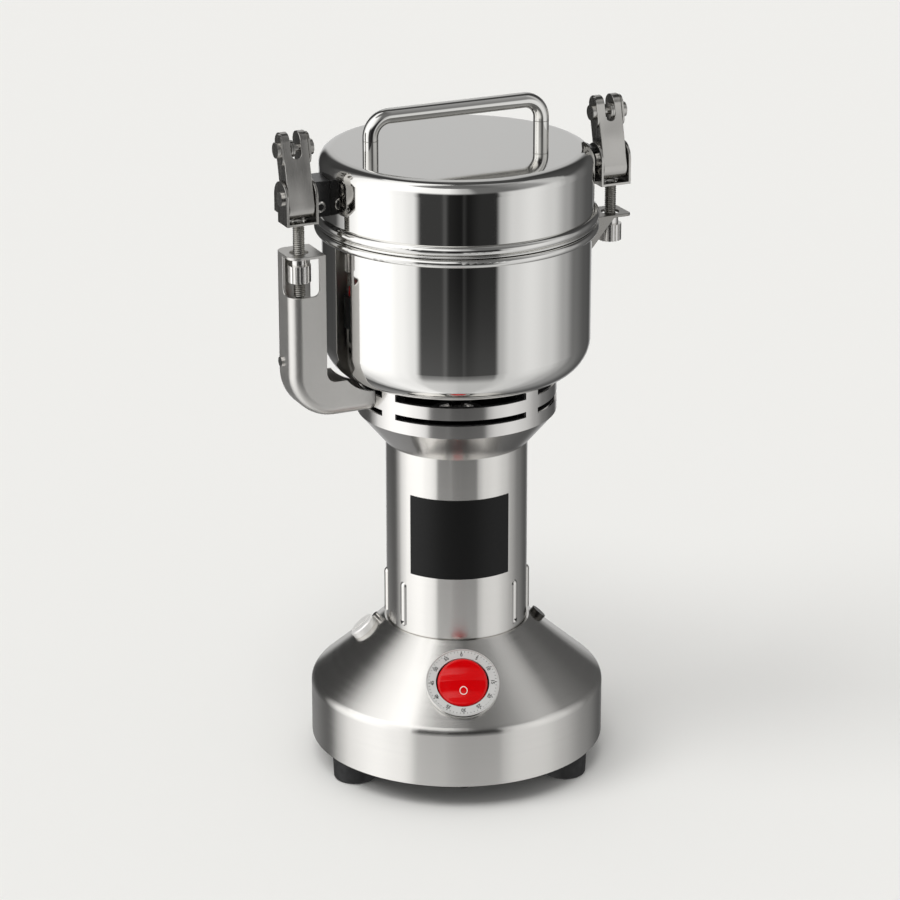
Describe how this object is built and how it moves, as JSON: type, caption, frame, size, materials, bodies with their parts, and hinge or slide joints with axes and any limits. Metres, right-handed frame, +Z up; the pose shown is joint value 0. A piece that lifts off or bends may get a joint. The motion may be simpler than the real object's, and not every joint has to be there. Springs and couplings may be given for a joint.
{
  "type": "electric grain mill",
  "caption": "Electric grain mill: steel motor stand with a round red switch, a polished grinding bowl and a lid held by two latches.",
  "frame": {"origin": "on the motor's axis, level with the soles of the feet", "axes": "+Z up along the motor's axis; +X along the line of the two latches and the handle, towards the right latch as seen from the switch's side; +Y to the back"},
  "size_m": [0.1944, 0.1548, 0.3584],
  "materials": {
    "satin_steel": "satin brushed",
    "turned_steel": "fine turned",
    "polished_steel": "mirror polished",
    "blasted_steel": "bead blasted",
    "latch_steel": "brushed",
    "zinc_steel": "zinc plated",
    "dark_steel": "oiled",
    "dial_metal": "satin",
    "cast_alloy": "cast",
    "lamination": "varnished",
    "copper": "varnished",
    "lug_black": "semi-gloss",
    "black_plastic": "matte",
    "ivory_plastic": "matte",
    "red_plastic": "glossy",
    "foot_rubber": "matte",
    "seal_rubber": "matte"
  },
  "bodies": {
    "base": {"base_shell": "satin_steel", "base_plate": "zinc_steel", "base_screws": "zinc_steel", "feet": "foot_rubber", "foot_screws": "zinc_steel", "motor_tube": "satin_steel", "neck": "turned_steel", "bowl_studs": "zinc_steel", "upper_bearing": "turned_steel", "lower_bearing": "turned_steel", "bearing_bracket": "cast_alloy", "motor_rings": "black_plastic", "stator_core": "lamination", "field_coils": "copper", "brush_holders": "copper", "carbon_brushes": "black_plastic", "fuse_cap": "polished_steel", "fuse_holder": "black_plastic", "flange_screw": "turned_steel", "side_plug": "dark_steel", "dial_ring": "dial_metal", "switch_body": "black_plastic", "cord_gland": "foot_rubber", "terminal_block": "ivory_plastic", "bowl": "polished_steel", "shaft_seal": "seal_rubber", "latch_arm": "blasted_steel", "arm_screw": "turned_steel", "interlock_switch": "black_plastic", "right_bracket": "blasted_steel"},
    "rotor": {"shaft": "turned_steel", "armature_core": "lamination", "armature_coils": "copper", "commutator": "copper", "cooling_fan": "black_plastic", "blade_spacers": "turned_steel", "lower_blade": "turned_steel", "upper_blade": "turned_steel", "blade_nut": "turned_steel"},
    "lid": {"lid_shell": "polished_steel", "lid_gasket": "seal_rubber", "handle": "polished_steel", "handle_nuts": "zinc_steel", "left_lug": "lug_black", "right_lug": "lug_black", "lug_screws": "turned_steel", "left_yoke": "latch_steel", "right_yoke": "latch_steel", "pivot_rivets": "turned_steel"},
    "left_latch": {"left_lever": "latch_steel", "left_lever_pin": "latch_steel"},
    "right_latch": {"right_lever": "latch_steel", "right_lever_pin": "latch_steel"},
    "left_clamp": {"left_rod": "dark_steel"},
    "right_clamp": {"right_rod": "dark_steel"},
    "left_knob": {"left_nut": "turned_steel"},
    "right_knob": {"right_nut": "turned_steel"},
    "switch_rocker": {"rocker": "red_plastic"},
    "interlock": {"interlock_plunger": "red_plastic"}
  },
  "joints": [
    {"name": "lid_lift", "type": "slide", "parent": "base", "child": "lid", "axis": [0, 0, 1], "range_m": [0, 0.12]},
    {"name": "left_lever_swing", "type": "hinge", "parent": "lid", "child": "left_latch", "pos_m": [-0.0875, 0, 0.31845], "axis": [1, 0, 0], "range_deg": [0, 95]},
    {"name": "right_lever_swing", "type": "hinge", "parent": "lid", "child": "right_latch", "pos_m": [0.0875, 0, 0.31845], "axis": [1, 0, 0], "range_deg": [0, 95]},
    {"name": "left_rod_drop", "type": "slide", "parent": "base", "child": "left_clamp", "axis": [0, 0, -1], "range_m": [0, 0.004]},
    {"name": "right_rod_drop", "type": "slide", "parent": "base", "child": "right_clamp", "axis": [0, 0, -1], "range_m": [0, 0.004]},
    {"name": "left_nut_turn", "type": "hinge", "parent": "left_clamp", "child": "left_knob", "pos_m": [-0.0875, -0.001, 0.2805], "axis": [0, 0, 1], "continuous": true},
    {"name": "right_nut_turn", "type": "hinge", "parent": "right_clamp", "child": "right_knob", "pos_m": [0.0875, -0.001, 0.2805], "axis": [0, 0, 1], "continuous": true},
    {"name": "rocker_tilt", "type": "hinge", "parent": "base", "child": "switch_rocker", "pos_m": [-0.02135, -0.05285, 0.06263], "axis": [-0.9272, 0.3746, 0], "range_deg": [0, 20]},
    {"name": "rotor_spin", "type": "hinge", "parent": "base", "child": "rotor", "pos_m": [0, 0, 0.15], "axis": [0, 0, 1], "continuous": true},
    {"name": "plunger_press", "type": "slide", "parent": "base", "child": "interlock", "axis": [0, 0, -1], "range_m": [0, 0.004]}
  ],
  "couplings": [
    {"joint": "left_rod_drop", "follows": "left_lever_swing", "m_per_rad": 0.0024},
    {"joint": "plunger_press", "follows": "left_lever_swing", "m_per_rad": 0.0024},
    {"joint": "right_rod_drop", "follows": "right_lever_swing", "m_per_rad": 0.0024}
  ]
}
